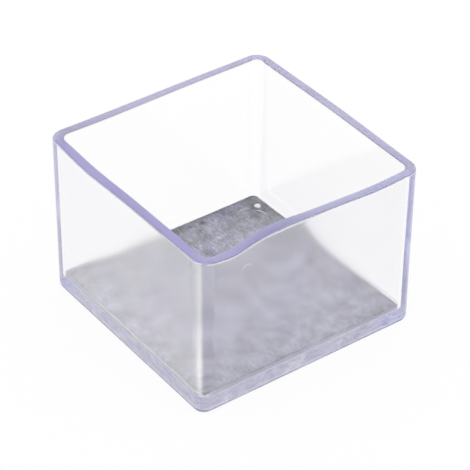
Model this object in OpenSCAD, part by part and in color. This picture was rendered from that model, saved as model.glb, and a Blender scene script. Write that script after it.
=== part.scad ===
// Square push-on cap for the foot of a chair leg, in millimetres.
// A clear soft plastic sleeve with a thick base holds a felt pad, which is stuck down inside on its floor.
// Z = 0 is the sleeve's underside, which stands on the ground, and the Z axis runs up the middle of the leg.

/* [Leg pocket] */
// Side of the square leg that the cap is pushed onto
leg_side = 38; // [20:0.5:60]
// How much smaller than the leg the pocket is, so that the soft walls grip it
grip = 0.4; // [0:0.1:1.5]
// Depth of the pocket, from the sleeve's floor to the rim
pocket_depth = 26.1; // [12:0.1:50]
// Radius of the pocket's upright corners
pocket_corner = 2.3; // [0.8:0.1:4]
// Radius where the pocket's walls meet its floor
floor_fillet = 0.3; // [0.2:0.1:2]

/* [Sleeve] */
// Thickness of the side walls
wall = 1.5; // [0.8:0.1:3]
// Thickness of the base under the pad
base_thickness = 2.4; // [1.2:0.1:5]
// Radius of the sleeve's outside corners
outer_corner = 2.5; // [1:0.1:5]
// Rounding of both edges of the rim
rim_round = 0.4; // [0.1:0.05:0.6]
// Rounding of the sleeve's bottom edge
base_round = 0.8; // [0.2:0.1:1.5]

/* [Felt pad] */
// Thickness of the felt
felt_thickness = 0.6; // [0.4:0.05:3]
// Gap between the pad's edge and the pocket's walls
pad_clearance = 0.7; // [0.1:0.05:1.5]
// Thickness of the glue under the felt
glue_thickness = 0.1; // [0.05:0.05:0.3]
// Gap between the spread glue's edge and the pocket's walls
glue_clearance = 0.3; // [0.1:0.05:3]

/* [Hidden] */
$fn = 64;

// How far a cutting shape runs past the faces that it cuts
overcut = 1;

// Plan: the axes that the outside and the pocket turn their corners about
pocket_side = leg_side - grip;
outer_side = pocket_side + 2 * wall;
outer_axis = outer_side / 2 - outer_corner;
pocket_axis = pocket_side / 2 - pocket_corner;

// Heights, from the ground up
floor_z = base_thickness;
felt_z = floor_z + glue_thickness;
rim_z = floor_z + pocket_depth;

// Roundings, each held within the wall or corner that it belongs to
rim_radius = min(rim_round, 0.45 * wall);
fillet_radius = min(floor_fillet, 0.9 * pocket_corner);
base_radius = min(base_round, 0.8 * base_thickness, 0.8 * outer_corner);

// Outlines of the pad and of the glue that is pressed out round it, both clear of the floor's fillet
pad_gap = max(pad_clearance, fillet_radius);
pad_side = pocket_side - 2 * pad_gap;
pad_corner = max(pocket_corner - pad_gap, 0.5);
glue_gap = max(glue_clearance, fillet_radius);
glue_side = pocket_side - 2 * glue_gap;
glue_corner = max(pocket_corner - glue_gap, 0.5);

// Square outline with round corners, centred on the Z axis
module rounded_square(side, radius) {
    inset = side / 2 - radius;
    square([side, 2 * inset], center = true);
    square([2 * inset, side], center = true);
    for (x = [-inset, inset], y = [-inset, inset])
        translate([x, y])
            circle(radius);
}

// Sharp corner at the origin, less the quarter circle that rounds it
module corner_waste(radius, margin) {
    difference() {
        translate([-margin, -margin])
            square(radius + margin);
        translate([radius, radius])
            circle(radius);
    }
}

// Section of the outside: x runs outward from the corner's axis, y is the height
module outside_section() {
    difference() {
        square([outer_corner, rim_z]);
        translate([outer_corner, 0])
            mirror([1, 0])
                corner_waste(base_radius, overcut);
        translate([outer_corner, rim_z])
            mirror([1, 0])
                mirror([0, 1])
                    corner_waste(rim_radius, overcut);
    }
}

// Section of the pocket: round at the floor, and opening out over the rim's inner edge
module pocket_section() {
    difference() {
        translate([0, floor_z])
            square([pocket_corner, pocket_depth + overcut]);
        translate([pocket_corner, floor_z])
            mirror([1, 0])
                corner_waste(fillet_radius, overcut);
    }
    translate([pocket_corner, rim_z])
        mirror([0, 1])
            corner_waste(rim_radius, overcut);
}

// Carries a section round the square: a turn at each corner and a straight run along each side
module around_square(axis) {
    for (turn = [0:3])
        rotate(90 * turn) {
            translate([axis, axis, 0])
                rotate_extrude(angle = 90)
                    children();
            translate([axis, 0, 0])
                rotate([90, 0, 0])
                    linear_extrude(2 * axis, center = true)
                        children();
        }
}

// Square column that fills the middle of a shape carried round the square
module core(axis, bottom, top) {
    translate([-axis, -axis, bottom])
        cube([2 * axis, 2 * axis, top - bottom]);
}

// Moulded sleeve: a block with round edges, hollowed by the leg pocket
module clear_sleeve() {
    color("lavender", 0.4)
        difference() {
            union() {
                around_square(outer_axis)
                    outside_section();
                core(outer_axis, 0, rim_z);
            }
            union() {
                around_square(pocket_axis)
                    pocket_section();
                core(pocket_axis, floor_z, rim_z + overcut);
            }
        }
}

// Glue that holds the felt to the floor
module glue_film() {
    color("whitesmoke")
        translate([0, 0, floor_z])
            linear_extrude(glue_thickness)
                rounded_square(glue_side, glue_corner);
}

// Felt that the end of the leg stands on
module felt_pad() {
    color("dimgray")
        translate([0, 0, felt_z])
            linear_extrude(felt_thickness)
                rounded_square(pad_side, pad_corner);
}

clear_sleeve();
glue_film();
felt_pad();
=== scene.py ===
import math

import bmesh
import bpy
from mathutils import Matrix, Vector, noise


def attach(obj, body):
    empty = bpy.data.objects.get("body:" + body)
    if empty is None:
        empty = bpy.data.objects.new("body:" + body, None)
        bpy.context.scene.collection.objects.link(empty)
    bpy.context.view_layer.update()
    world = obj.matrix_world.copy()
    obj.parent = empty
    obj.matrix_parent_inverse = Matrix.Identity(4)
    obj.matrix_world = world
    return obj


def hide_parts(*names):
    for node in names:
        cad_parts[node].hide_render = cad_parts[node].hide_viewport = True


# Chair leg cap: a clear soft sleeve with a felt pad glued down on its floor, in metres
# The near corner is at low x and y, the near left wall faces x and the near right wall faces y

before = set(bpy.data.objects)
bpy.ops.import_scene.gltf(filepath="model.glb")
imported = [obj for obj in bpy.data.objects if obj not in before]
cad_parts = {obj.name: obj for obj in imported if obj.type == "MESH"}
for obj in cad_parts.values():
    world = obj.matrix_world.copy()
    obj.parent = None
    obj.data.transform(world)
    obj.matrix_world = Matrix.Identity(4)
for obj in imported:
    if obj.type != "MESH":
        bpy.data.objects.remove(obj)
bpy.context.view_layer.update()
scene = bpy.context.scene
print("frame loaded:", ", ".join(sorted(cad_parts)))


# Helpers for every piece

def millimetres(value):
    return value / 1000.0


def smoothStep(low, high, value):
    share = min(max((value - low) / (high - low), 0.0), 1.0)
    return share * share * (3 - 2 * share)


def hill(x, y, centreX, centreY, width):
    return math.exp(-((x - centreX) ** 2 + (y - centreY) ** 2) / (2 * width ** 2))


def evenPlaces(low, high, count):
    return [low + (high - low) * i / count for i in range(count + 1)]


def roundedBlock(side, radius, low, high, segments, nearRadius=None, farRadius=None):
    bm = bmesh.new()
    bmesh.ops.create_cube(bm, size=1)
    bmesh.ops.scale(bm, vec=(side, side, high - low), verts=bm.verts)
    bmesh.ops.translate(bm, vec=(0, 0, (low + high) / 2), verts=bm.verts)
    uprights = [e for e in bm.edges if abs(e.verts[0].co.z - e.verts[1].co.z) > 1e-6]
    near = [e for e in uprights if e.verts[0].co.x < 0 and e.verts[0].co.y < 0]
    far = [e for e in uprights if e.verts[0].co.x > 0 and e.verts[0].co.y > 0]
    rest = [e for e in uprights if e not in near + far]
    for corners, size in ((rest, radius), (near, nearRadius or radius), (far, farRadius or radius)):
        bmesh.ops.bevel(bm, geom=corners, offset=size, offset_type="OFFSET", segments=segments,
                        profile=0.5, affect="EDGES", material=-1)
    return bm


def sharpRing(bm, level, wanted=None):
    ring = []
    for edge in bm.edges:
        if all(abs(v.co.z - level) < 1e-6 for v in edge.verts) and len(edge.link_faces) == 2:
            if edge.calc_face_angle() > 1.0 and (wanted is None or all(wanted(v) for v in edge.verts)):
                ring.append(edge)
    return ring


def roundOver(bm, level, radius, segments, wanted=None):
    bmesh.ops.bevel(bm, geom=sharpRing(bm, level, wanted), offset=radius, offset_type="OFFSET",
                    segments=segments, profile=0.5, affect="EDGES", material=-1)


def cutAcross(bm, axis, places):
    for place in places:
        point = Vector((0, 0, 0))
        point[axis] = place
        normal = Vector((0, 0, 0))
        normal[axis] = 1
        whole = bm.verts[:] + bm.edges[:] + bm.faces[:]
        bmesh.ops.bisect_plane(bm, geom=whole, dist=1e-7, plane_co=point, plane_no=normal)


def cutBothWays(bm, places):
    cutAcross(bm, 0, places)
    cutAcross(bm, 1, places)


def arcTube(bm, centre, radius, start, stop, thick, axis):
    steps = 12
    sides = 8
    # Share of a half wave that is left out at each end, so that the ends are thin but not sharp
    blunt = 0.06
    away = Vector((1, 0, 0))
    ring = bmesh.ops.create_circle(bm, cap_ends=True, radius=thick / 2, segments=sides)["verts"]
    # The circle stands across the arc, at its start
    onEnd = Matrix((away, axis, away.cross(axis))).transposed()
    bmesh.ops.rotate(bm, cent=(0, 0, 0), matrix=onEnd, verts=ring)
    bmesh.ops.translate(bm, vec=centre + away * radius, verts=ring)
    bmesh.ops.rotate(bm, cent=centre, matrix=Matrix.Rotation(math.radians(start), 3, axis), verts=ring)
    faces = list({f for v in ring for f in v.link_faces})
    before = set(bm.verts) - set(ring)
    bmesh.ops.spin(bm, geom=faces, cent=centre, axis=axis, dvec=(0, 0, 0),
                   angle=math.radians(stop - start), steps=steps, use_merge=False, use_duplicate=False)
    tube = [v for v in bm.verts if v not in before]
    for vert in tube:
        spoke = (vert.co - centre) - axis * axis.dot(vert.co - centre)
        core = centre + spoke.normalized() * radius
        turn = math.degrees(math.atan2(axis.cross(away).dot(spoke), away.dot(spoke)))
        share = min(max((turn - start) / (stop - start), 0), 1)
        full = math.sin(math.pi * (blunt + (1 - 2 * blunt) * share))
        vert.co = core + (vert.co - core) * math.sqrt(full)
    return tube


def makePiece(bm, name, materials, node):
    mesh = bpy.data.meshes.new(name)
    bm.normal_update()
    bm.to_mesh(mesh)
    bm.free()
    for polygon in mesh.polygons:
        polygon.use_smooth = True
    for material in materials:
        mesh.materials.append(material)
    piece = bpy.data.objects.new(name, mesh)
    scene.collection.objects.link(piece)
    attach(piece, "root")
    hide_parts(node)
    print("piece:", name, len(mesh.polygons), "faces")
    return piece


# Material helpers

def newMaterial(name):
    material = bpy.data.materials.new(name)
    material.use_nodes = True
    tree = material.node_tree
    return material, tree, tree.nodes["Principled BSDF"]


def addNode(tree, kind, x, y, **values):
    node = tree.nodes.new(kind)
    node.location = (x, y)
    for key, value in values.items():
        setattr(node, key, value)
    return node


def objectPlace(tree, x, y):
    return addNode(tree, "ShaderNodeTexCoord", x, y).outputs["Object"]


def cloud(tree, x, y, vector, scale, detail, roughness, distortion):
    node = addNode(tree, "ShaderNodeTexNoise", x, y)
    node.inputs["Scale"].default_value = scale
    node.inputs["Detail"].default_value = detail
    node.inputs["Roughness"].default_value = roughness
    node.inputs["Distortion"].default_value = distortion
    tree.links.new(vector, node.inputs["Vector"])
    return node


def spread(tree, x, y, value, fromLow, fromHigh, toLow, toHigh):
    node = addNode(tree, "ShaderNodeMapRange", x, y)
    node.inputs["From Min"].default_value = fromLow
    node.inputs["From Max"].default_value = fromHigh
    node.inputs["To Min"].default_value = toLow
    node.inputs["To Max"].default_value = toHigh
    tree.links.new(value, node.inputs["Value"])
    return node.outputs["Result"]


def combine(tree, x, y, operation, first, second, clamp=False):
    node = addNode(tree, "ShaderNodeMath", x, y, operation=operation, use_clamp=clamp)
    tree.links.new(first, node.inputs[0])
    tree.links.new(second, node.inputs[1])
    return node.outputs["Value"]


def blendColours(tree, x, y, share, first, second):
    node = addNode(tree, "ShaderNodeMix", x, y, data_type="RGBA")
    tree.links.new(share, node.inputs[0])
    for socket, colour in ((node.inputs[6], first), (node.inputs[7], second)):
        if isinstance(colour, tuple):
            socket.default_value = (*colour, 1)
        else:
            tree.links.new(colour, socket)
    return node.outputs[2]


def mark(tree, x, y, name):
    return addNode(tree, "ShaderNodeAttribute", x, y, attribute_name=name).outputs["Fac"]


# Uneven patches that the bloom, the scuff, the felt and the glue share

def makePatchGroup():
    group = bpy.data.node_groups.new("unevenPatches", "ShaderNodeTree")
    group.interface.new_socket("Place", in_out="INPUT", socket_type="NodeSocketVector")
    for name in ("Broad Scale", "Fine Scale", "Fine Share"):
        group.interface.new_socket(name, in_out="INPUT", socket_type="NodeSocketFloat")
    group.interface.new_socket("Patch", in_out="OUTPUT", socket_type="NodeSocketFloat")
    entry = addNode(group, "NodeGroupInput", -700, 0)
    ending = addNode(group, "NodeGroupOutput", 300, 0)
    broad = cloud(group, -400, 150, entry.outputs["Place"], 1, 3, 0.6, 0.5)
    fine = cloud(group, -400, -150, entry.outputs["Place"], 1, 4, 0.7, 1.0)
    both = addNode(group, "ShaderNodeMix", 0, 0, data_type="FLOAT")
    group.links.new(entry.outputs["Broad Scale"], broad.inputs["Scale"])
    group.links.new(entry.outputs["Fine Scale"], fine.inputs["Scale"])
    group.links.new(entry.outputs["Fine Share"], both.inputs["Factor"])
    group.links.new(broad.outputs["Fac"], both.inputs["A"])
    group.links.new(fine.outputs["Fac"], both.inputs["B"])
    group.links.new(both.outputs["Result"], ending.inputs["Patch"])
    return group


patchGroup = makePatchGroup()


# In the looks below, scales are a broad scale, a fine scale and the share of the fine one,
# and ranges are the low and high value that go in and the low and high value that come out

def patches(tree, x, y, place, broadScale, fineScale, fineShare):
    node = addNode(tree, "ShaderNodeGroup", x, y, node_tree=patchGroup)
    node.inputs["Broad Scale"].default_value = broadScale
    node.inputs["Fine Scale"].default_value = fineScale
    node.inputs["Fine Share"].default_value = fineShare
    tree.links.new(place, node.inputs["Place"])
    return node.outputs["Patch"]


# Clear vinyl of the sleeve

vinylLook = {
    "clear": (1, 1, 1),
    "rimTint": (0.66, 0.61, 0.855),
    "farRimTint": (0.875, 0.845, 0.81),
    "footLine": (0.35, 0.34, 0.36),
    "roughness": 0.1,
    "rimRoughness": 0.3,
    "skinRoughness": 0.15,
    "ior": 1.53,
    "mirrorTint": (0.02, 0.02, 0.02, 1),
    "clearShare": 1.0,
    "tint": (0.45, 0.44, 0.85, 1),
    "tintDensity": 24.0,
    "bloomIor": 18.0,
    "bloomRoughness": 0.12,
    "bloomScales": (160, 1400, 0.5),
    "bloomRange": (0.35, 0.65, 0.72, 1.28),
    "hazeRange": (0, 0.18, 0, 1),
    # Streaks along the base, which also break the painted contact shadow at its foot into dashes
    "streakStretch": (1, 1, 2.6),
    "streakScales": (420, 1700, 0.5),
    "streakRange": (0.34, 0.66, -0.18, 0.18),
    "dashRange": (0.42, 0.5, 0, 1),
}


def clearVinyl():
    look = vinylLook
    material, tree, shader = newMaterial("clearVinyl")
    shader.inputs["IOR"].default_value = look["ior"]
    shader.inputs["Specular Tint"].default_value = look["mirrorTint"]
    shader.inputs["Transmission Weight"].default_value = look["clearShare"]
    # Bloom on the outside of the walls, where the vinyl sweats and is handled; its strong strips on the
    # near corner and the near lips are painted highlights
    place = objectPlace(tree, -1500, 0)
    uneven = patches(tree, -1200, 0, place, *look["bloomScales"])
    strength = spread(tree, -900, 0, uneven, *look["bloomRange"])
    flat = addNode(tree, "ShaderNodeMapping", -1500, -700)
    flat.inputs["Scale"].default_value = look["streakStretch"]
    tree.links.new(place, flat.inputs["Vector"])
    streaks = patches(tree, -1200, -700, flat.outputs["Vector"], *look["streakScales"])
    base = combine(tree, -700, -700, "MULTIPLY", mark(tree, -900, -900, "base"),
                   spread(tree, -900, -700, streaks, *look["streakRange"]))
    wall = combine(tree, -700, -100, "MULTIPLY", mark(tree, -900, -300, "outerSkin"), strength)
    skin = combine(tree, -600, -300, "ADD", wall, base)
    dashes = spread(tree, -900, 900, streaks, *look["dashRange"])
    foot = combine(tree, -700, 900, "MULTIPLY", mark(tree, -1100, 900, "foot"), dashes)
    skin = combine(tree, -550, -300, "SUBTRACT", skin, foot)
    side = addNode(tree, "ShaderNodeNewGeometry", -900, -500)
    bloomAndHighlights = combine(tree, -500, -200, "SUBTRACT", skin, side.outputs["Backfacing"], clamp=True)
    tree.links.new(bloomAndHighlights, shader.inputs["Coat Weight"])
    shader.inputs["Coat IOR"].default_value = look["bloomIor"]
    shader.inputs["Coat Roughness"].default_value = look["bloomRoughness"]
    # The rim and the skin under the bloom are less polished than the insides of the walls
    rimHaze = spread(tree, -700, 300, mark(tree, -900, 300, "rim"), 0, 1,
                     look["roughness"], look["rimRoughness"])
    haze = addNode(tree, "ShaderNodeMix", -300, 100, data_type="FLOAT")
    tree.links.new(spread(tree, -500, 0, bloomAndHighlights, *look["hazeRange"]), haze.inputs["Factor"])
    tree.links.new(rimHaze, haze.inputs["A"])
    haze.inputs["B"].default_value = look["skinRoughness"]
    tree.links.new(haze.outputs["Result"], shader.inputs["Roughness"])
    # Colour of the rims and of the painted contact shadow along the foot
    nearRim = mark(tree, -900, 600, "rimTint")
    farRim = mark(tree, -900, 750, "farRim")
    colour = blendColours(tree, -300, 400, nearRim, look["clear"], look["rimTint"])
    colour = blendColours(tree, -200, 400, farRim, colour, look["farRimTint"])
    footed = blendColours(tree, -100, 400, foot, colour, look["footLine"])
    tree.links.new(footed, shader.inputs["Base Color"])
    absorb = addNode(tree, "ShaderNodeVolumeAbsorption", 0, -500)
    absorb.inputs["Color"].default_value = look["tint"]
    absorb.inputs["Density"].default_value = look["tintDensity"]
    tree.links.new(absorb.outputs["Volume"], tree.nodes["Material Output"].inputs["Volume"])
    return material


# White hooked scuff on the sleeve

scuffLook = {
    "dull": (0.56, 0.55, 0.62),
    "white": (0.80, 0.79, 0.86),
    "scales": (900, 4000, 0.5),
    "range": (0.35, 0.65, 0, 1),
    "roughness": 0.6,
}


def whiteScuff():
    look = scuffLook
    material, tree, shader = newMaterial("whiteScuff")
    place = objectPlace(tree, -900, 0)
    uneven = patches(tree, -600, 0, place, *look["scales"])
    share = spread(tree, -450, 0, uneven, *look["range"])
    colour = blendColours(tree, -300, 0, share, look["dull"], look["white"])
    tree.links.new(colour, shader.inputs["Base Color"])
    shader.inputs["Roughness"].default_value = look["roughness"]
    return material


# Sleeve: a square cup with a round rim, a filleted floor and a round bottom edge

sleeveShape = {
    "side": millimetres(40.6),
    "cornerRadius": millimetres(2.5),
    "nearCornerRadius": millimetres(1.9),
    "pocketSide": millimetres(37.6),
    "pocketRadius": millimetres(1.4),
    "farPocketRadius": millimetres(1.2),
    "cornerSegments": 10,
    "baseThickness": millimetres(2.4),
    "height": millimetres(28.5),
    # Roundings: radius and segments
    "rimIn": (millimetres(0.15), 5),
    "rimOut": (millimetres(0.3), 6),
    "floorFillet": (millimetres(0.12), 4),
    "baseRound": (millimetres(0.8), 5),
    # Gap between a rounding and the loop beside it, and the count of even loops along and up the walls
    "support": millimetres(0.06),
    "loopsAlong": 26,
    "loopsUp": 16,
    # Strength of the bloom on the walls that face x and y
    "bloomX": 0.33,
    "bloomY": 0.18,
    # Band of bloom round the base and the pad: its height, and its strength low and high on both walls
    "bandTop": millimetres(3.25),
    "bandX": (0.31, 0.31),
    "bandY": (0.29, 0.31),
    # Stronger bloom along the bottom edge, its top, and the loop where it has faded
    "bloomFoot": 0.46,
    "footTop": millimetres(0.96),
    "footLoop": millimetres(1.28),
    # Painted contact shadow, a dark line on the bottom rounding: its levels, and its strength where it
    # faces x and y
    "footLine": (millimetres(0.2), millimetres(0.82)),
    "footStrength": (1.0, 0.4),
    # Painted highlight on the outer lip of the near rims, as strong bloom: strength, depths below the rim,
    # and width of the lip
    "lipHighlight": 0.68,
    "lipDepths": (millimetres(0.12), millimetres(0.315)),
    "lipWidth": millimetres(0.36),
    # Depth below the rim's top where the bloom ends, and where the rim's look starts outside and inside
    "skinDepth": millimetres(0.03),
    "rimDepthOut": millimetres(0.33),
    "rimDepthIn": millimetres(0.18),
    # Tint of the near rims: its width, its strength on the right one, and where along that it is full
    "nearRimWidth": millimetres(2),
    "rightTint": 0.6,
    "rightTintSpan": (millimetres(6), millimetres(-16)),
    # How far inside the pocket's far walls the tint of the far rims starts
    "farRimInset": millimetres(0.5),
    # Painted highlight on the near corner, a white strip of strong bloom: middle, reach to the left, sharp
    # and soft reach to the right
    "cornerHighlight": (millimetres(-0.37), millimetres(1.2), millimetres(0.42), millimetres(1.0)),
    # Share of the sharp part
    "cornerHighlightSharp": 0.7,
    # Levels where the highlight starts, is full, starts to fade and has faded, and how far it fades
    "cornerHighlightLevels": (millimetres(3.6), millimetres(4.4), millimetres(8), millimetres(26)),
    "cornerHighlightFade": 0.3,
    # How far the far walls lean in at their foot, by the far corner
    "leanX": millimetres(0.95),
    "leanY": millimetres(0.7),
    # Where along the walls the lean starts and is full, and the share of the half side past which it acts
    "leanSpan": (millimetres(-16), millimetres(8)),
    "leanStart": 0.8,
    # Hooked scuff on the near right wall: x, z, radius, start and end angle, thickness
    "scuff": (millimetres(-12.6), millimetres(24.6), millimetres(1.05), -160, -20, millimetres(0.27)),
    # Share of its thickness by which its middle stands out from the wall
    "scuffOut": 0.25,
    # Bows of the soft walls in mm: place and width, direction, push of the inner and outer face, rise
    "bows": [
        (-19.6, 8, 5.5, -1, 0, 0.35, 0.6, 0),
        (-19.6, -8, 8, -1, 0, 0.1, 0.25, 0),
        (-15.5, -19.6, 3, 0, -1, 0.5, 0.85, -0.35),
        (-6, -19.6, 3.5, 0, -1, -0.6, 0, 0),
        (11.5, -19.6, 5, 0, -1, 0.45, 0.6, 0),
        (-12, 19.6, 9, 0, 1, -0.42, -0.22, 0),
        (19.6, 0, 9, 1, 0, 0.22, 0.28, 0),
        (-18.5, -18.5, 1.2, -0.7, -0.7, 0.25, 0, 0),
    ],
}


def bowOf(place, outer):
    push = Vector((0, 0, 0))
    for x, y, width, outX, outY, inside, outside, rise in sleeveShape["bows"]:
        size = hill(place.x, place.y, millimetres(x), millimetres(y), millimetres(width))
        amount = outside if outer else inside
        push += Vector((outX * amount, outY * amount, rise)) * millimetres(size)
    # The base holds the walls straight
    return push * (place.z / sleeveShape["height"]) ** 2


def leanOf(place):
    s = sleeveShape
    low = 1 - place.z / s["height"]
    half = s["pocketSide"] / 2
    start = half * s["leanStart"]
    leanX = s["leanX"] * smoothStep(start, half, place.x) * smoothStep(*s["leanSpan"], place.y)
    leanY = s["leanY"] * smoothStep(start, half, place.y) * smoothStep(*s["leanSpan"], place.x)
    return Vector((-leanX * low, -leanY * low, 0))


def isOutside(place):
    s = sleeveShape
    half = (s["side"] + s["pocketSide"]) / 4
    radius = (s["cornerRadius"] + s["pocketRadius"]) / 2
    reachX = max(abs(place.x) - (half - radius), 0)
    reachY = max(abs(place.y) - (half - radius), 0)
    return math.hypot(reachX, reachY) > radius


def isInBand(place):
    return place.z < sleeveShape["bandTop"] + sleeveShape["support"] / 2


def facesX(vert):
    return abs(vert.normal.x) > abs(vert.normal.y)


# Painted highlight: strength of the white strip of bloom on the near corner
def cornerHighlightAt(place):
    s = sleeveShape
    middle, left, sharp, right = s["cornerHighlight"]
    low, full, fade, high = s["cornerHighlightLevels"]
    if place.x > 0 or place.y > 0:
        return 0
    across = (place.x - place.y) / math.sqrt(2) - middle
    if across < 0:
        size = math.exp(across / left)
    else:
        size = s["cornerHighlightSharp"] * math.exp(-(across / sharp) ** 2)
        size += (1 - s["cornerHighlightSharp"]) * math.exp(-across / right)
    return size * smoothStep(low, full, place.z) * (1 - s["cornerHighlightFade"] * smoothStep(fade, high, place.z))


# Strength of the bloom, which also carries the painted highlights on the near corner and the near lips
def bloomAndHighlightsAt(vert):
    s = sleeveShape
    place = vert.co
    wall = s["bloomX"] if facesX(vert) else s["bloomY"]
    if isInBand(place):
        low, high = s["bandX"] if facesX(vert) else s["bandY"]
        start = s["baseRound"][0]
        wall = low + (high - low) * max(place.z - start, 0) / (s["bandTop"] - start)
    if place.z < s["footTop"]:
        wall = s["bloomFoot"]
    isNear = min(place.x, place.y) < s["lipWidth"] - s["side"] / 2
    if isNear and s["lipDepths"][0] < s["height"] - place.z < s["lipDepths"][1]:
        wall = s["lipHighlight"]
    return max(wall, cornerHighlightAt(place))


# Painted contact shadow: strength of the dark line on the bottom rounding
def footLineAt(vert):
    s = sleeveShape
    low, high = s["footLine"]
    if not low < vert.co.z < high:
        return 0.0
    return s["footStrength"][0 if facesX(vert) else 1]


def nearRimTintAt(place):
    s = sleeveShape
    inset = s["side"] / 2 - s["nearRimWidth"]
    if place.x < -inset:
        return 1.0
    if place.y < -inset:
        return s["rightTint"] * smoothStep(*s["rightTintSpan"], place.x)
    return 0.0


def isFarRim(place):
    return max(place.x, place.y) > sleeveShape["pocketSide"] / 2 - sleeveShape["farRimInset"]


def openTop(bm):
    top = max(bm.faces, key=lambda f: f.calc_center_median().z)
    bmesh.ops.delete(bm, geom=[top], context="FACES_ONLY")


def makeCup():
    s = sleeveShape
    bm = roundedBlock(s["side"], s["cornerRadius"], 0, s["height"], s["cornerSegments"],
                      nearRadius=s["nearCornerRadius"])
    openTop(bm)
    pocket = roundedBlock(s["pocketSide"], s["pocketRadius"], s["baseThickness"], s["height"],
                          s["cornerSegments"], farRadius=s["farPocketRadius"])
    openTop(pocket)
    bmesh.ops.reverse_faces(pocket, faces=pocket.faces)
    pocketMesh = bpy.data.meshes.new("pocket")
    pocket.to_mesh(pocketMesh)
    pocket.free()
    bm.from_mesh(pocketMesh)
    bpy.data.meshes.remove(pocketMesh)
    bmesh.ops.bridge_loops(bm, edges=[e for e in bm.edges if e.is_boundary])
    roundOver(bm, s["height"], *s["rimIn"], lambda v: not isOutside(v.co))
    roundOver(bm, s["height"], *s["rimOut"], lambda v: isOutside(v.co))
    roundOver(bm, s["baseThickness"], *s["floorFillet"])
    roundOver(bm, 0, *s["baseRound"])
    return bm


def cutLoops(bm):
    s = sleeveShape
    support = s["support"]
    # Even loops along the walls, and one beside each upright corner
    outerAxis = s["side"] / 2 - s["cornerRadius"]
    innerAxis = s["pocketSide"] / 2 - s["pocketRadius"]
    places = evenPlaces(-innerAxis, innerAxis, s["loopsAlong"])
    for axisPlace in (outerAxis - support, innerAxis - support):
        places += [-axisPlace, axisPlace]
    places.append(s["nearCornerRadius"] - s["side"] / 2 + support)
    places.append(s["pocketSide"] / 2 - s["farPocketRadius"] - support)
    cutBothWays(bm, places)
    # Even loops up the walls, one beside each rounding, and those where the bloom changes
    lowLoop = s["baseThickness"] + s["floorFillet"][0]
    highLoop = s["height"] - s["rimOut"][0]
    levels = evenPlaces(lowLoop, highLoop, s["loopsUp"])[1:-1]
    levels += [s["baseRound"][0] + support, lowLoop + support, highLoop - support]
    levels += [s["footLoop"], s["bandTop"], s["bandTop"] + support * 2]
    cutAcross(bm, 2, levels)


def addScuff(bm):
    x, z, radius, start, stop, thick = sleeveShape["scuff"]
    centre = Vector((x, -sleeveShape["side"] / 2 - thick * sleeveShape["scuffOut"], z))
    tube = arcTube(bm, centre, radius, start, stop, thick, Vector((0, 1, 0)))
    for face in {f for v in tube for f in v.link_faces}:
        face.material_index = 1
    return tube


def makeSleeve(materials):
    s = sleeveShape
    bm = makeCup()
    cutLoops(bm)
    skin = bm.verts.layers.float.new("outerSkin")
    rim = bm.verts.layers.float.new("rim")
    nearRim = bm.verts.layers.float.new("rimTint")
    farRim = bm.verts.layers.float.new("farRim")
    base = bm.verts.layers.float.new("base")
    foot = bm.verts.layers.float.new("foot")
    scuff = set(addScuff(bm))
    bmesh.ops.recalc_face_normals(bm, faces=bm.faces)
    bm.normal_update()
    for vert in bm.verts:
        outer = vert in scuff or isOutside(vert.co)
        depth = s["height"] - vert.co.z
        if outer and depth > s["skinDepth"]:
            vert[skin] = bloomAndHighlightsAt(vert)
            vert[base] = 1.0 if isInBand(vert.co) else 0.0
            vert[foot] = footLineAt(vert)
        if depth < (s["rimDepthOut"] if outer else s["rimDepthIn"]):
            vert[rim] = 1.0
            vert[nearRim] = nearRimTintAt(vert.co)
            vert[farRim] = 1.0 if isFarRim(vert.co) else 0.0
        push = bowOf(vert.co, outer)
        if not outer:
            push += leanOf(vert.co)
        vert.co += push
    return makePiece(bm, "clearSleeve", materials, "clear_sleeve")


# Felt of the pad

feltLook = {
    "olive": (0.58, 0.58, 0.63),
    "lilac": (0.572, 0.56, 0.70),
    "darkTone": (0.10, 0.10, 0.13),
    # Slow change between olive and lilac, and the share of lilac that is added towards the near corner
    "castScales": (170, 900, 0.4),
    "castRange": (0.40, 0.60, 0, 1),
    "driftRange": (millimetres(8), millimetres(-12), 0, 0.7),
    # Brightness: clumps, the slow change and fibres that lie two ways
    "clumpScales": (420, 2600, 0.5),
    "clumpRange": (0.33, 0.67, 0.50, 1.34),
    "slowRange": (0.38, 0.62, 0.90, 1.10),
    "fibreScale": 5200,
    "fibreTurns": (35, -50),
    "fibreStretch": (1, 0.16, 1),
    "fibreRange": (0.35, 0.65, 0.86, 1.14),
    "bumpStrength": 0.6,
    "bumpDepth": millimetres(0.08),
    "roughness": 0.95,
    "gloss": 0.2,
}


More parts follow.
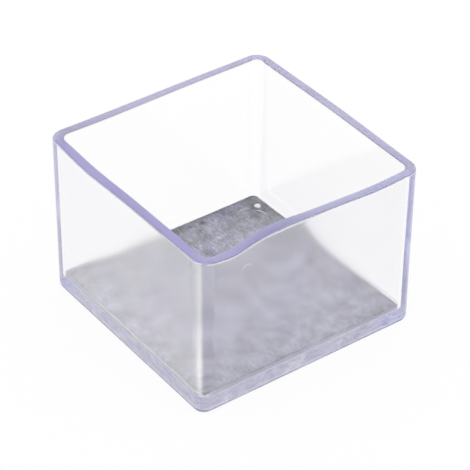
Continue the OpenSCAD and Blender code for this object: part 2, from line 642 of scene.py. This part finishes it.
def needledFelt():
    look = feltLook
    material, tree, shader = newMaterial("needledFelt")
    place = objectPlace(tree, -1800, 0)
    cast = patches(tree, -1500, 500, place, *look["castScales"])
    castShare = spread(tree, -1200, 500, cast, *look["castRange"])
    along = addNode(tree, "ShaderNodeVectorMath", -1500, 800, operation="DOT_PRODUCT")
    tree.links.new(place, along.inputs[0])
    along.inputs[1].default_value = (1, 1, 0)
    drift = spread(tree, -1200, 800, along.outputs["Value"], *look["driftRange"])
    castShare = combine(tree, -1050, 600, "ADD", castShare, drift, clamp=True)
    grey = blendColours(tree, -900, 500, castShare, look["olive"], look["lilac"])
    clumps = patches(tree, -1500, 200, place, *look["clumpScales"])
    tone = spread(tree, -1200, 200, clumps, *look["clumpRange"])
    slow = spread(tree, -1200, 350, cast, *look["slowRange"])
    tone = combine(tree, -1000, 250, "MULTIPLY", tone, slow)
    for turn in look["fibreTurns"]:
        row = turn * 8
        lay = addNode(tree, "ShaderNodeMapping", -1500, row)
        lay.inputs["Rotation"].default_value = (0, 0, math.radians(turn))
        lay.inputs["Scale"].default_value = look["fibreStretch"]
        tree.links.new(place, lay.inputs["Vector"])
        fibre = cloud(tree, -1300, row, lay.outputs["Vector"], look["fibreScale"], 2, 0.6, 0.8)
        streak = spread(tree, -1100, row, fibre.outputs["Fac"], *look["fibreRange"])
        tone = combine(tree, -900, row, "MULTIPLY", tone, streak)
    toned = addNode(tree, "ShaderNodeVectorMath", -600, 300, operation="SCALE")
    tree.links.new(grey, toned.inputs[0])
    tree.links.new(tone, toned.inputs["Scale"])
    # Darker along the edges and in spots, one spot being painted shade
    shade = mark(tree, -900, -700, "edgeShade")
    colour = blendColours(tree, -300, 300, shade, toned.outputs["Vector"], look["darkTone"])
    tree.links.new(colour, shader.inputs["Base Color"])
    bump = addNode(tree, "ShaderNodeBump", -300, -300)
    bump.inputs["Strength"].default_value = look["bumpStrength"]
    bump.inputs["Distance"].default_value = look["bumpDepth"]
    tree.links.new(tone, bump.inputs["Height"])
    tree.links.new(bump.outputs["Normal"], shader.inputs["Normal"])
    shader.inputs["Roughness"].default_value = look["roughness"]
    shader.inputs["Specular IOR Level"].default_value = look["gloss"]
    return material


# Pad: a square of felt with an uneven top, ragged edges, darker edges and dark spots, one of them painted
# shade

padShape = {
    "side": millimetres(36.2),
    "cornerRadius": millimetres(0.9),
    "cornerSegments": 6,
    "low": millimetres(2.5),
    "high": millimetres(3.1),
    "edgeRound": (millimetres(0.2), 3),
    "cells": 110,
    # Waves of the top, which lies a little low: height, and scale of the broad and the fine ones
    "topWave": millimetres(0.03),
    "topScales": (380, 1500),
    "topDrop": millimetres(0.04),
    # Fraying of the edge: depth, width of the strip, broad and fine scale, strength of the fine one
    "ragged": millimetres(0.16),
    "raggedWidth": millimetres(1.2),
    "raggedScales": (420, 1500),
    "raggedFine": 0.6,
    # The pad lies towards the near corner, is a little narrow one way, and its far right edge isn't square
    "stretch": (1, 0.993, 1),
    "shift": (millimetres(-0.3), millimetres(-0.425), 0),
    "slant": 0.018,
    # Darkening along the edges: axis, direction, strength and reach in mm, and how uneven it is
    "edgeDarkening": [(0, -1, 0.08, 0.4), (0, 1, 0.42, 0.5), (1, -1, 0.06, 0.5), (1, 1, 0.62, 0.9)],
    "darkeningUneven": 0.8,
    "darkeningScale": 700,
    # Single dark spots: place and width in mm, and strength
    "darkSpots": [
        (6.2, 16.5, 0.4, 0.9),
        (1.2, 17.0, 0.6, 0.6),
        (2.5, 17.4, 0.5, 0.6),
        (3.7, 16.9, 0.5, 0.6),
        (16.3, 15.9, 1.0, 0.45),
        # This spot is painted shade, where the near rim shades the felt
        (2.0, 8.9, 0.9, 0.4),
        (16.5, 13.3, 0.4, 0.4),
    ],
}


def topOffset(place):
    s = padShape
    broad, fine = s["topScales"]
    waves = noise.noise(Vector((place.x, place.y, 0)) * broad)
    waves += noise.noise(Vector((place.x, place.y, 0.01)) * fine)
    return s["topWave"] * waves - s["topDrop"]


def padDarkening(place):
    s = padShape
    darkening = 0
    for axis, sign, strength, reach in s["edgeDarkening"]:
        gap = s["side"] / 2 - sign * place[axis]
        darkening = max(darkening, strength * math.exp(-gap / millimetres(reach)))
    darkening *= 1 + s["darkeningUneven"] * noise.noise(Vector((place.x, place.y, 0.02)) * s["darkeningScale"])
    for x, y, width, strength in s["darkSpots"]:
        darkTone = hill(place.x, place.y, millimetres(x), millimetres(y), millimetres(width))
        darkening = max(darkening, strength * darkTone)
    return min(max(darkening, 0), 1)


def frayEdge(vert):
    s = padShape
    broad, fine = s["raggedScales"]
    # Scale of the fraying across the edge, which hardly changes there
    across = 20
    for axis, other in ((0, 1), (1, 0)):
        place = vert.co[axis]
        near = smoothStep(s["raggedWidth"], 0, s["side"] / 2 - abs(place))
        wave = noise.noise(Vector((vert.co[other] * broad, place * across, axis)))
        wave += s["raggedFine"] * noise.noise(Vector((vert.co[other] * fine, place * across, axis + 5)))
        depth = min(max(0.5 + 0.5 * wave, 0), 1)
        vert.co[axis] -= math.copysign(s["ragged"] * near * depth, place)


def makePad(materials):
    s = padShape
    half = s["side"] / 2
    bm = roundedBlock(s["side"], s["cornerRadius"], s["low"], s["high"], s["cornerSegments"])
    roundOver(bm, s["high"], *s["edgeRound"])
    cutBothWays(bm, evenPlaces(-half, half, s["cells"])[1:-1])
    bmesh.ops.recalc_face_normals(bm, faces=bm.faces)
    shade = bm.verts.layers.float.new("edgeShade")
    for vert in bm.verts:
        # The top moves with its rounding, the underside stays flat
        if vert.co.z > s["high"] - s["edgeRound"][0] * 1.5:
            vert.co.z += topOffset(vert.co)
        vert[shade] = padDarkening(vert.co)
        frayEdge(vert)
        vert.co.x -= s["slant"] * vert.co.y * (0.5 + vert.co.x / s["side"])
    bmesh.ops.scale(bm, vec=s["stretch"], verts=bm.verts)
    bmesh.ops.translate(bm, vec=s["shift"], verts=bm.verts)
    return makePiece(bm, "feltPad", materials, "felt_pad")


# Cloudy glue, which also carries painted shade and painted highlights

glueLook = {
    "thin": (0.66, 0.64, 0.88),
    "thick": (0.90, 0.88, 1.0),
    "darkening": (0.16, 0.15, 0.32),
    "glint": (0.98, 0.98, 0.98),
    "scales": (300, 1600, 0.35),
    "range": (0.38, 0.62, 0, 1),
    "filmRoughness": 0.4,
    "glintRoughness": 0.15,
    "glintIor": 6.0,
}


def cloudyGlue():
    look = glueLook
    material, tree, shader = newMaterial("cloudyGlue")
    place = objectPlace(tree, -1200, 0)
    cloudy = patches(tree, -900, 0, place, *look["scales"])
    share = spread(tree, -600, 0, cloudy, *look["range"])
    film = blendColours(tree, -300, 0, share, look["thin"], look["thick"])
    # Painted shade on the near strips, and a darker patch by the left corner
    darkened = blendColours(tree, -150, 0, mark(tree, -900, -150, "darkening"), film, look["darkening"])
    # Painted highlights: white and glossy on the drop, the strands and the line on the near left
    glint = mark(tree, -900, -300, "glint")
    colour = blendColours(tree, 0, 0, glint, darkened, look["glint"])
    tree.links.new(colour, shader.inputs["Base Color"])
    gloss = spread(tree, -300, -300, glint, 0, 1, look["filmRoughness"], look["glintRoughness"])
    tree.links.new(gloss, shader.inputs["Roughness"])
    tree.links.new(glint, shader.inputs["Coat Weight"])
    shader.inputs["Coat IOR"].default_value = look["glintIor"]
    return material


# Glue under the pad, pressed up beside it at the near walls, with painted shade on its near strips and, on
# top, a drop and two strands that are painted highlights

glueShape = {
    "side": millimetres(37.48),
    "cornerRadius": millimetres(1.35),
    "farCornerRadius": millimetres(1.15),
    "cornerSegments": 6,
    "low": millimetres(2.385),
    "high": millimetres(2.5),
    "cells": 40,
    "edgeLoop": millimetres(0.02),
    # Edges by the far walls, which the glue doesn't reach, and where along these that starts and is full
    "farX": millimetres(17.0),
    "farY": millimetres(17.2),
    "farSpanX": (millimetres(-15), millimetres(-3)),
    "farSpanY": (millimetres(-18.5), millimetres(-15)),
    # Painted shade on the near left and the near right strip beside the pad: strength on top and foot, and
    # widths
    "darkening": [(0.4, 0.65), (0.36, 0.37)],
    "topReach": millimetres(1.6),
    "footReach": millimetres(0.1),
    # Darker patch by the left corner: place, width and strength
    "leftDarkening": (millimetres(-16.8), millimetres(18.2), millimetres(2.8), 0.6),
    # Painted highlight line on the near left, whiter and without the painted shade: its limit, where along
    # it it starts and is full, its whiteness
    "highlightLimit": millimetres(-17),
    "highlightSpan": (millimetres(11), millimetres(6)),
    "highlightWhite": 0.1,
    # Glue that is pressed up: where its rise starts and ends, its height, and how wavy that is
    "rise": (millimetres(-18.28), millimetres(-18.4)),
    "riseHigh": millimetres(2.97),
    "riseUneven": 0.45,
    "riseScale": 420,
    # White glossy drop on the felt, a painted highlight: place, radius, share of its height that is left,
    # and how lumpy it is
    "glint": (millimetres(15.8), millimetres(14.4), millimetres(3.12)),
    "glintRadius": millimetres(0.56),
    "glintFlat": 0.42,
    "glintUneven": 0.25,
    "glintScale": 1400,
    # Strands on the felt, painted highlights for bright arcs of light, in mm: arc's centre, radius, start
    # and end angle, thickness, whiteness
    "glintStrands": [
        (13.0, 13.6, 1.45, 152, 42, 0.13, 0.5),
        (13.8, 12.2, 1.7, 62, -20, 0.15, 0.75),
    ],
    "glintStrandHeight": millimetres(3.1),
}


def makeFilm():
    s = glueShape
    half = s["side"] / 2
    bm = roundedBlock(s["side"], s["cornerRadius"], s["low"], s["high"], s["cornerSegments"],
                      farRadius=s["farCornerRadius"])
    cutBothWays(bm, evenPlaces(-half, half, s["cells"])[1:-1] + list(s["rise"]))
    cutAcross(bm, 2, [s["high"] - s["edgeLoop"]])
    for vert in bm.verts:
        x, y = vert.co.xy
        alongX = smoothStep(*s["farSpanX"], x)
        alongY = smoothStep(*s["farSpanY"], y)
        vert.co.x -= (half - s["farX"]) * smoothStep(half / 2, half, x) * alongY
        vert.co.y -= (half - s["farY"]) * smoothStep(half / 2, half, y) * alongX
    return bm


def markDarkening(vert, isTop, darkening, glint):
    s = glueShape
    reach = s["topReach"] if isTop else s["footReach"]
    # Painted shade on the near strips beside the pad
    for axis, (onTop, onFoot) in enumerate(s["darkening"]):
        if -vert.co[axis] > s["side"] / 2 - reach:
            vert[darkening] = max(vert[darkening], onTop if isTop else onFoot)
    if not isTop:
        return
    # Painted highlight line on the near left, whiter and without the painted shade
    if vert.co.x < s["highlightLimit"]:
        highlight = smoothStep(*s["highlightSpan"], vert.co.y)
        vert[darkening] *= 1 - highlight
        vert[glint] = s["highlightWhite"] * highlight
    # Darker patch by the left corner
    x, y, width, strength = s["leftDarkening"]
    vert[darkening] = max(vert[darkening], strength * hill(vert.co.x, vert.co.y, x, y, width))


def pressUp(vert):
    s = glueShape
    rise = max(smoothStep(*s["rise"], vert.co.x), smoothStep(*s["rise"], vert.co.y))
    wave = 1 + s["riseUneven"] * noise.noise(Vector((vert.co.x, vert.co.y, 0.03)) * s["riseScale"])
    vert.co.z += (s["riseHigh"] - s["high"]) * rise * wave


def makeGlue(materials):
    s = glueShape
    bm = makeFilm()
    glint = bm.verts.layers.float.new("glint")
    darkening = bm.verts.layers.float.new("darkening")
    for vert in bm.verts:
        isTop = vert.co.z > s["high"] - s["edgeLoop"] / 2
        isLoop = vert.co.z > s["high"] - s["edgeLoop"] * 1.5
        markDarkening(vert, isTop, darkening, glint)
        if isLoop:
            pressUp(vert)
    drop = bmesh.ops.create_icosphere(bm, subdivisions=3, radius=s["glintRadius"])["verts"]
    bmesh.ops.scale(bm, vec=(1, 1, s["glintFlat"]), verts=drop)
    bmesh.ops.translate(bm, vec=s["glint"], verts=drop)
    for vert in drop:
        swell = s["glintUneven"] * noise.noise(vert.co * s["glintScale"])
        vert.co += (vert.co - Vector(s["glint"])) * swell
        vert[glint] = 1.0
    upward = Vector((0, 0, 1))
    # Strands of painted highlight on the felt
    for x, y, radius, start, stop, thick, white in s["glintStrands"]:
        centre = Vector((millimetres(x), millimetres(y), s["glintStrandHeight"]))
        strand = arcTube(bm, centre, millimetres(radius), start, stop, millimetres(thick), upward)
        for vert in strand:
            vert[glint] = white
    bmesh.ops.recalc_face_normals(bm, faces=bm.faces)
    return makePiece(bm, "glueFilm", materials, "glue_film")


makeSleeve([clearVinyl(), whiteScuff()])
pad = makePad([needledFelt()])
makeGlue([cloudyGlue()])


# White floor that still takes a faint shadow

stageLook = {
    "floorSide": 3.0,
    "floorZ": millimetres(-0.03),
    "floorColour": (0.9, 0.9, 0.9, 1),
    "floorRoughness": 0.8,
    "white": (1, 1, 1, 1),
    # Share of plain white in what the camera sees of the floor, and how bright that white is
    "whiteShare": 0.92,
    "whiteStrength": 1.01,
    # The floor as it is seen through the vinyl
    "throughColour": (1, 1, 0.985, 1),
    "throughStrength": 1.035,
    "worldStrength": 1.0,
}


def glow(tree, x, y, colour, strength):
    node = addNode(tree, "ShaderNodeEmission", x, y)
    node.inputs["Color"].default_value = colour
    node.inputs["Strength"].default_value = strength
    return node.outputs["Emission"]


def blendShaders(tree, x, y, share, first, second):
    node = addNode(tree, "ShaderNodeMixShader", x, y)
    for socket, value in zip(node.inputs, (share, first, second)):
        tree.links.new(value, socket)
    return node.outputs["Shader"]


def whiteFloor():
    look = stageLook
    material, tree, shader = newMaterial("whiteFloor")
    shader.inputs["Base Color"].default_value = look["floorColour"]
    shader.inputs["Roughness"].default_value = look["floorRoughness"]
    shader.inputs["Specular IOR Level"].default_value = 0.0
    plain = glow(tree, 0, -300, look["white"], look["whiteStrength"])
    through = glow(tree, 0, -500, look["throughColour"], look["throughStrength"])
    paths = addNode(tree, "ShaderNodeLightPath", -600, 300).outputs
    direct = spread(tree, -400, 300, paths["Is Camera Ray"], 0, 1, 0, look["whiteShare"])
    share = combine(tree, -200, 300, "MAXIMUM", direct, paths["Is Glossy Ray"])
    seen = blendShaders(tree, 300, 0, share, shader.outputs["BSDF"], plain)
    seen = blendShaders(tree, 500, 0, paths["Is Transmission Ray"], seen, through)
    tree.links.new(seen, tree.nodes["Material Output"].inputs["Surface"])
    return material


def makeStage():
    look = stageLook
    bm = bmesh.new()
    bmesh.ops.create_grid(bm, x_segments=2, y_segments=2, size=look["floorSide"] / 2)
    bmesh.ops.translate(bm, vec=(0, 0, look["floorZ"]), verts=bm.verts)
    mesh = bpy.data.meshes.new("floor")
    bm.to_mesh(mesh)
    bm.free()
    mesh.materials.append(whiteFloor())
    floor = bpy.data.objects.new("floor", mesh)
    scene.collection.objects.link(floor)
    world = bpy.data.worlds.new("studio")
    scene.world = world
    world.use_nodes = True
    background = world.node_tree.nodes["Background"]
    background.inputs["Color"].default_value = look["white"]
    background.inputs["Strength"].default_value = look["worldStrength"]


makeStage()
print("stage made")


# Camera, placed by the photo's vanishing lines

cameraSetup = {
    "azimuth": 233.73,
    "elevation": 36.69,
    "roll": 0.32,
    "distance": 0.3526,
    "lens": 174.8,
    "sensor": 36,
    "nearest": 0.01,
    "aimRight": millimetres(0.49),
    "aimUp": millimetres(-1.27),
    "aimHeight": millimetres(14.28),
}


def makeCamera():
    setup = cameraSetup
    azimuth = math.radians(setup["azimuth"])
    elevation = math.radians(setup["elevation"])
    outward = Vector((math.cos(azimuth) * math.cos(elevation),
                      math.sin(azimuth) * math.cos(elevation), math.sin(elevation)))
    right = Vector((-math.sin(azimuth), math.cos(azimuth), 0))
    upward = outward.cross(right)
    aim = Vector((0, 0, setup["aimHeight"])) + right * setup["aimRight"] + upward * setup["aimUp"]
    data = bpy.data.cameras.new("photoCamera")
    data.sensor_width = setup["sensor"]
    data.lens = setup["lens"]
    data.clip_start = setup["nearest"]
    camera = bpy.data.objects.new("photoCamera", data)
    scene.collection.objects.link(camera)
    camera.location = aim + outward * setup["distance"]
    turn = (-outward).to_track_quat("-Z", "Y").to_euler()
    turn.rotate_axis("Z", math.radians(setup["roll"]))
    camera.rotation_euler = turn
    scene.camera = camera


makeCamera()
scene.view_settings.view_transform = "Standard"

# Light that is caught in the clear walls needs many turns to get out
scene.cycles.max_bounces = 48
scene.cycles.glossy_bounces = 40
scene.cycles.transmission_bounces = 40
